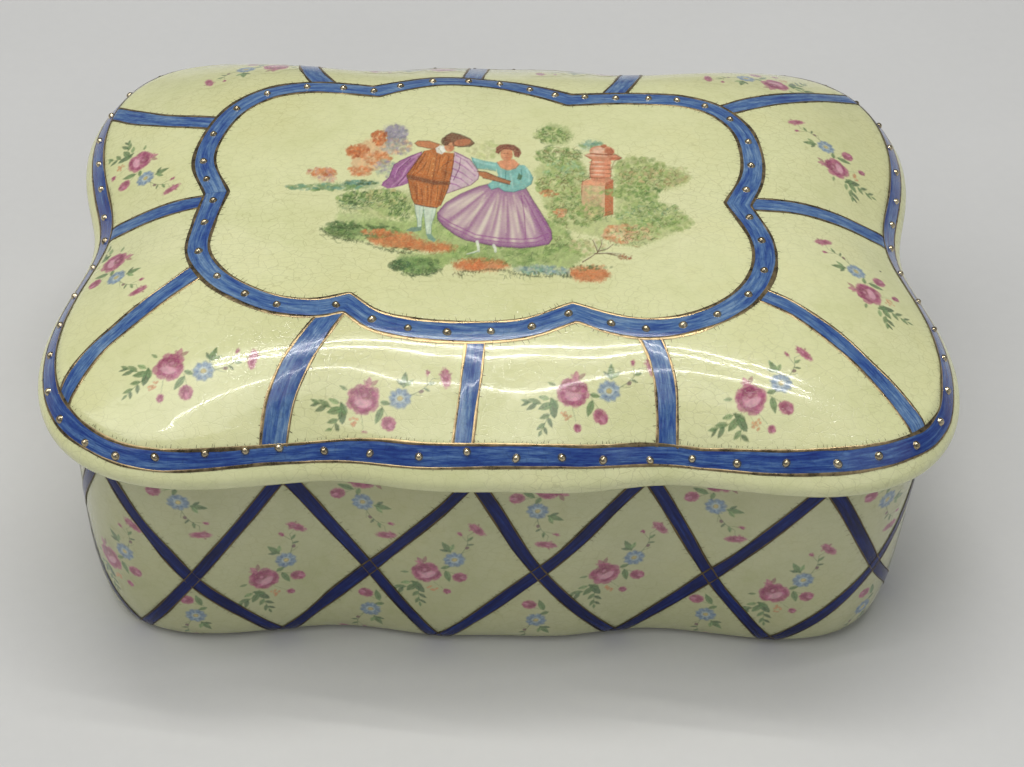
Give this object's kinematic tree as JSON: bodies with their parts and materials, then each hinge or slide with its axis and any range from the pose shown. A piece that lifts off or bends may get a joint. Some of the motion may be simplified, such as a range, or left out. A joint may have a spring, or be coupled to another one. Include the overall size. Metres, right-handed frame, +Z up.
{
  "type": "porcelain trinket box",
  "caption": "Serpentine rectangular porcelain box with a domed lift-off lid, painted bands, a cartouche on the lid and a lattice round the base.",
  "frame": {"origin": "centre of the plan outline in the resting plane of the foot ring", "axes": "+X along the long side, +Y towards the back, +Z up, the way the lid lifts"},
  "size_m": [0.1998, 0.1502, 0.078],
  "materials": {
    "base_glaze": "crackled cream glaze with painted cobalt lattice, gilt lines and small flower sprays",
    "lid_glaze": "crackled cream glaze with painted cobalt bands, gilt lines, raised gilt dots and painted scenes"
  },
  "bodies": {
    "box": {"box_base": "base_glaze"},
    "lid": {"lid": "lid_glaze"}
  },
  "joints": [
    {"name": "lid_lift", "type": "slide", "parent": "box", "child": "lid", "axis": [0, 0, 1], "range_m": [0, 0.09]}
  ]
}
